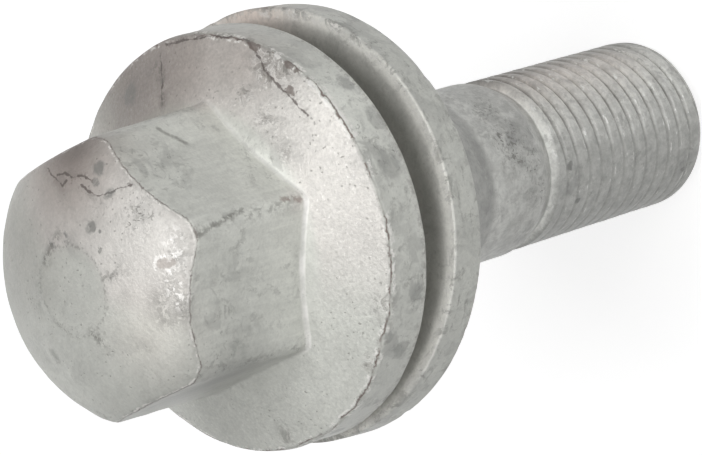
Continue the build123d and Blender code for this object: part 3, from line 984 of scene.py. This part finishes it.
def washer_coating():
    """The same coating on the loose washer, streaked on its rim and chipped along its edges, with painted
    highlights along its edge.
    """
    n = Nodes("washer_coating")
    edge, tone_and_painted_light, warmth_and_painted_light, wear, across, brown = map(
        n.attribute, ("edge", "tone_and_painted_light", "warmth_and_painted_light", "wear", "across", "brown")
    )
    colour, mottle, grain, clouds, scuffs, dots = flake_layers(n, tone_and_painted_light, warmth_and_painted_light, wear, 0.6)
    colour = n.mix(brown, colour, WASHER_BROWN_TINT, "MULTIPLY")
    wander = n.jittered(across, mottle, 0.9)
    scored = n.math("MAXIMUM", near(n, wander, 0.5, 0.02, 0.13), near(n, wander, -0.35, 0.02, 0.1))
    scored = n.product(scored, n.range(scuffs, 0.46, 0.56), n.range(clouds, 0.42, 0.55, 0.2, 1.0))
    colour = n.mix(n.product(scored, 0.34), colour, DARK)
    streak = n.range(n.noise(0.9, 5.0, 0.65, 0.3, (1.0, 1.0, 0.7)), 0.5, 0.66)
    streak = n.product(streak, n.range(mottle, 0.4, 0.55))
    colour = n.mix(n.product(streak, 0.15), colour, STREAK_GREY)
    # Painted glints in the painted light band near the washer's outer edge.
    band_glints = n.product(n.range(tone_and_painted_light, 1.12, 1.34), n.range(dots, 0.5, 0.57))
    band_glints = n.product(band_glints, n.range(clouds, 0.4, 0.55, 0.4, 1.0))
    colour = n.mix(n.product(band_glints, 0.55), colour, EDGE_GLINT)
    # Painted highlight along the rounded edges.
    painted_edge_shine = n.product(edge, edge, n.range(dots, 0.42, 0.55, 0.3, 1.0))
    colour = n.mix(n.product(painted_edge_shine, 0.08), colour, EDGE_HIGHLIGHT)
    dash = n.product(edge, n.range(scuffs, 0.5, 0.56), n.range(clouds, 0.42, 0.55, 0.4, 1.0))
    colour = n.mix(n.product(dash, 0.45), colour, DARK)
    dull = n.product(edge, n.range(dots, 0.44, 0.54))
    colour = n.mix(n.product(dull, 0.28), colour, EDGE_DULL)
    chips = n.range(nearest_path(n, n.wobbled(4.0, 0.45), WASHER_CHIPS), 0.06, 0.2, 1.0, 0.0)
    colour = n.mix(n.product(chips, n.range(dots, 0.44, 0.52), 0.75), colour, EDGE_CHIP)
    roughness = n.range(mottle, 0.3, 0.7, 0.38, 0.47)
    relief = n.math("SUBTRACT", n.product(grain, 0.8), n.math("ADD", dash, n.product(streak, 0.4)))
    return finish_coating(n, colour, roughness, relief)


bolt.data.materials.append(bolt_coating())
washer.data.materials.append(washer_coating())

# Floor, light and camera
FLOOR_REACH = 3.0
FLOOR_GREY = (0.5, 0.5, 0.5, 1)
FLOOR_GLOW = 0.78
WORLD_FILL = 0.05
floor_mesh = bpy.data.meshes.new("floor")
corners = [(x * FLOOR_REACH, y * FLOOR_REACH, 0) for x, y in ((-1, -1), (1, -1), (1, 1), (-1, 1))]
floor_mesh.from_pydata(corners, [], [(0, 1, 2, 3)])
floor = bpy.data.objects.new("floor", floor_mesh)
bpy.context.scene.collection.objects.link(floor)


def seen_share(tree):
    """1 for rays that show the background: seen directly, in a reflection or through something."""
    path = tree.nodes.new("ShaderNodeLightPath")
    share = path.outputs["Is Camera Ray"]
    for ray in ("Is Glossy Ray", "Is Transmission Ray"):
        node = tree.nodes.new("ShaderNodeMath")
        node.operation = "MAXIMUM"
        tree.links.new(share, node.inputs[0])
        tree.links.new(path.outputs[ray], node.inputs[1])
        share = node.outputs[0]
    return share


pale = bpy.data.materials.new("pale_floor")
pale.use_nodes = True
tree = pale.node_tree
tree.nodes.remove(tree.nodes["Principled BSDF"])
matte = tree.nodes.new("ShaderNodeBsdfDiffuse")
matte.inputs["Color"].default_value = FLOOR_GREY
glow = tree.nodes.new("ShaderNodeEmission")
both = tree.nodes.new("ShaderNodeAddShader")
strength = tree.nodes.new("ShaderNodeMath")
strength.operation = "MULTIPLY"
strength.inputs[1].default_value = FLOOR_GLOW
tree.links.new(seen_share(tree), strength.inputs[0])
tree.links.new(strength.outputs[0], glow.inputs["Strength"])
tree.links.new(matte.outputs[0], both.inputs[0])
tree.links.new(glow.outputs[0], both.inputs[1])
tree.links.new(both.outputs[0], tree.nodes["Material Output"].inputs["Surface"])
floor_mesh.materials.append(pale)

world = bpy.data.worlds.new("studio")
bpy.context.scene.world = world
world.use_nodes = True
tree = world.node_tree
background = tree.nodes["Background"]
background.inputs["Color"].default_value = (1, 1, 1, 1)
level = tree.nodes.new("ShaderNodeMapRange")
level.inputs["To Min"].default_value = WORLD_FILL
level.inputs["To Max"].default_value = 1.0
tree.links.new(seen_share(tree), level.inputs["Value"])
tree.links.new(level.outputs[0], background.inputs["Strength"])

CAMERA_PLACE = Vector((-25.8106, -169.9751, 208.9084)) * MM
FORWARD = Vector((0.09967701, 0.68978312, -0.71712184))
UP = Vector((0.91728851, -0.34296012, -0.20238615))
RIGHT = FORWARD.cross(UP)
LENS = 193.08
camera_data = bpy.data.cameras.new("camera")
camera_data.lens = LENS
camera_data.sensor_width = 36.0
camera_data.clip_start = 0.01
camera = bpy.data.objects.new("camera", camera_data)
camera.matrix_world = Matrix.Translation(CAMERA_PLACE) @ Matrix((RIGHT, UP, -FORWARD)).transposed().to_4x4()
bpy.context.scene.collection.objects.link(camera)
bpy.context.scene.camera = camera
bpy.context.scene.view_settings.view_transform = "Standard"

MIDDLE = Vector((0, 0, 0.035))
LAMP_DISTANCE = 0.8


def soft_box(name, direction, width, height, power):
    """A lamp that faces the part's middle from one direction."""
    data = bpy.data.lights.new(name, "AREA")
    data.shape = "RECTANGLE"
    data.size = width
    data.size_y = height
    data.energy = power
    lamp = bpy.data.objects.new(name, data)
    toward = Vector(direction).normalized()
    lamp.location = MIDDLE + toward * LAMP_DISTANCE
    lamp.rotation_mode = "QUATERNION"
    lamp.rotation_quaternion = toward.to_track_quat("Z", "Y")
    bpy.context.scene.collection.objects.link(lamp)


soft_box("overhead", (0.13, -0.22, 0.97), 0.45, 0.45, 3.0)
soft_box("overhead_left", (-0.36, -0.05, 0.93), 0.43, 0.43, 0.6)
soft_box("front", (-0.01, -0.97, 0.2), 0.8, 0.43, 2.75)
soft_box("side", (-0.71, 0.21, 0.67), 0.43, 0.43, 0.3)
soft_box("back", (0.24, 0.97, 0.05), 0.8, 0.12, 0.75)
